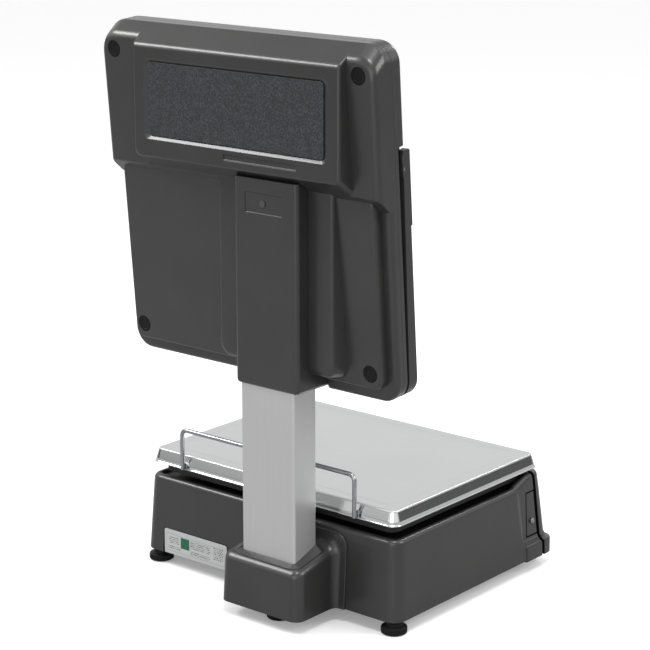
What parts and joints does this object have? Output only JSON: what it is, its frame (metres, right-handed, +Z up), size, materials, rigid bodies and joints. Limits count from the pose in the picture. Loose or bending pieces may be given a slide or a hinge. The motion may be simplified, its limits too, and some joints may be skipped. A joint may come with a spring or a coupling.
{
  "type": "label printing scale",
  "caption": "Retail counter scale with a stainless platter, a label printer drawer in the base, and a column that carries a tilted operator head with display and keyboard.",
  "frame": {"origin": "on the floor under the middle of the bounding box", "axes": "+Z up, -Y towards the operator (printer drawer, display and keyboard), +Y towards the column and the customer side, +X to the operator's right"},
  "size_m": [0.408, 0.394, 0.688],
  "materials": {
    "housing_plastic": "satin metallic dark grey",
    "black_plastic": "matte black",
    "black_rubber": "matte",
    "stainless": "fine brushed",
    "aluminium_satin": "satin anodised, vertical grain",
    "zinc_steel": "zinc plated",
    "black_steel": "matte powder coat",
    "grey_steel": "semi-matte",
    "circuit_board": "solder mask",
    "level_fluid": "clear fluid",
    "red_rocker": "gloss",
    "blue_plastic": "gloss",
    "paper": "smooth label stock",
    "white_gear": "acetal",
    "brass": "machined",
    "badge_film": "speckled dark blue-grey",
    "smoked_window": "gloss",
    "clear_film": "gloss",
    "display_glass": "display glass",
    "key_grey": "satin",
    "plate_metal": "satin plate",
    "motor_black": "satin",
    "anodised_cell": "machined"
  },
  "bodies": {
    "root": {"base_housing": "housing_plastic", "base_plate": "zinc_steel", "front_bezel": "housing_plastic", "side_hatch": "housing_plastic", "hatch_screw": "stainless", "rating_plate": "plate_metal", "column_pod": "housing_plastic", "column": "aluminium_satin", "column_bracket": "zinc_steel", "m6_screws": "zinc_steel", "foot_inserts": "brass", "load_cell": "anodised_cell", "load_cell_blocks": "anodised_cell", "overload_stops": "zinc_steel", "platter_carrier": "black_steel", "carrier_pads": "black_rubber", "level_body": "black_plastic", "level_vial": "level_fluid", "main_board": "circuit_board", "power_supply": "anodised_cell", "power_inlet": "black_plastic", "drawer_rails": "zinc_steel", "head_rear_housing": "housing_plastic", "badge_panel": "badge_film", "head_front_housing": "housing_plastic", "screw_caps": "black_rubber", "neck_cover": "housing_plastic", "neck_plate": "housing_plastic", "neck_screw": "grey_steel", "head_bracket": "zinc_steel", "head_board": "circuit_board", "display_module": "display_glass", "display_window": "smoked_window", "keyboard_panel": "key_grey", "frame_pins": "stainless"},
    "platter_body": {"platter": "stainless", "guard_rail": "stainless"},
    "foot_rear_left_body": {"foot_rear_left": "black_plastic"},
    "foot_rear_right_body": {"foot_rear_right": "black_plastic"},
    "foot_front_left_body": {"foot_front_left": "black_plastic"},
    "foot_front_right_body": {"foot_front_right": "black_plastic"},
    "foot_column_body": {"foot_column": "black_plastic"},
    "rocker_body": {"power_rocker": "red_rocker"},
    "drawer_body": {"drawer_chassis": "grey_steel", "drawer_front": "housing_plastic", "peel_bar": "stainless", "feed_motor": "motor_black"},
    "roll_body": {"label_roll": "paper", "roll_core": "blue_plastic"},
    "platen_body": {"platen_roller": "black_rubber", "platen_gear": "white_gear"},
    "pinion_body": {"motor_pinion": "brass"},
    "spool_body": {"take_up_spool": "blue_plastic"},
    "lever_body": {"print_head_lever": "zinc_steel", "print_head": "plate_metal"},
    "frame_body": {"keyboard_frame": "housing_plastic", "frame_film": "clear_film"},
    "key_1_body": {"key_1": "key_grey"},
    "key_2_body": {"key_2": "key_grey"},
    "key_3_body": {"key_3": "key_grey"}
  },
  "joints": [
    {"name": "platter_lift_off", "type": "slide", "parent": "root", "child": "platter_body", "axis": [0, 0, 1], "range_m": [0, 0.06]},
    {"name": "foot_rear_left_height", "type": "slide", "parent": "root", "child": "foot_rear_left_body", "axis": [0, 0, -1], "range_m": [0, 0.008]},
    {"name": "foot_rear_right_height", "type": "slide", "parent": "root", "child": "foot_rear_right_body", "axis": [0, 0, -1], "range_m": [0, 0.008]},
    {"name": "foot_front_left_height", "type": "slide", "parent": "root", "child": "foot_front_left_body", "axis": [0, 0, -1], "range_m": [0, 0.008]},
    {"name": "foot_front_right_height", "type": "slide", "parent": "root", "child": "foot_front_right_body", "axis": [0, 0, -1], "range_m": [0, 0.008]},
    {"name": "foot_column_height", "type": "slide", "parent": "root", "child": "foot_column_body", "axis": [0, 0, -1], "range_m": [0, 0.008]},
    {"name": "power_rocker_tilt", "type": "hinge", "parent": "root", "child": "rocker_body", "pos_m": [0.195, 0.094, 0.05], "axis": [0, 1, 0], "range_deg": [0, 14]},
    {"name": "drawer_slide", "type": "slide", "parent": "root", "child": "drawer_body", "axis": [0, -1, 0], "range_m": [0, 0.115]},
    {"name": "label_roll_spin", "type": "hinge", "parent": "drawer_body", "child": "roll_body", "pos_m": [0.06, -0.104, 0.062], "axis": [1, 0, 0], "continuous": true},
    {"name": "platen_spin", "type": "hinge", "parent": "drawer_body", "child": "platen_body", "pos_m": [0.06, -0.162, 0.08], "axis": [1, 0, 0], "continuous": true},
    {"name": "pinion_spin", "type": "hinge", "parent": "drawer_body", "child": "pinion_body", "pos_m": [0.06, -0.162, 0.059], "axis": [1, 0, 0], "continuous": true},
    {"name": "take_up_spin", "type": "hinge", "parent": "drawer_body", "child": "spool_body", "pos_m": [0.06, -0.15, 0.038], "axis": [1, 0, 0], "continuous": true},
    {"name": "print_head_release", "type": "hinge", "parent": "drawer_body", "child": "lever_body", "pos_m": [0.06, -0.132, 0.095], "axis": [-1, 0, 0], "range_deg": [0, 12]},
    {"name": "keyboard_frame_swing", "type": "hinge", "parent": "root", "child": "frame_body", "pos_m": [0, 0.12225, 0.54793], "axis": [-1, 0, 0], "range_deg": [0, 15]},
    {"name": "key_1_press", "type": "slide", "parent": "root", "child": "key_1_body", "axis": [0, 0.9968, -0.0797], "range_m": [0, 0.0015], "stiffness_N_per_m": 400},
    {"name": "key_2_press", "type": "slide", "parent": "root", "child": "key_2_body", "axis": [0, 0.9968, -0.0797], "range_m": [0, 0.0015], "stiffness_N_per_m": 400},
    {"name": "key_3_press", "type": "slide", "parent": "root", "child": "key_3_body", "axis": [0, 0.9968, -0.0797], "range_m": [0, 0.0015], "stiffness_N_per_m": 400}
  ],
  "couplings": [
    {"joint": "platen_spin", "follows": "label_roll_spin", "ratio": 3.7778},
    {"joint": "pinion_spin", "follows": "label_roll_spin", "ratio": -7.5556},
    {"joint": "take_up_spin", "follows": "label_roll_spin", "ratio": -3.4}
  ]
}
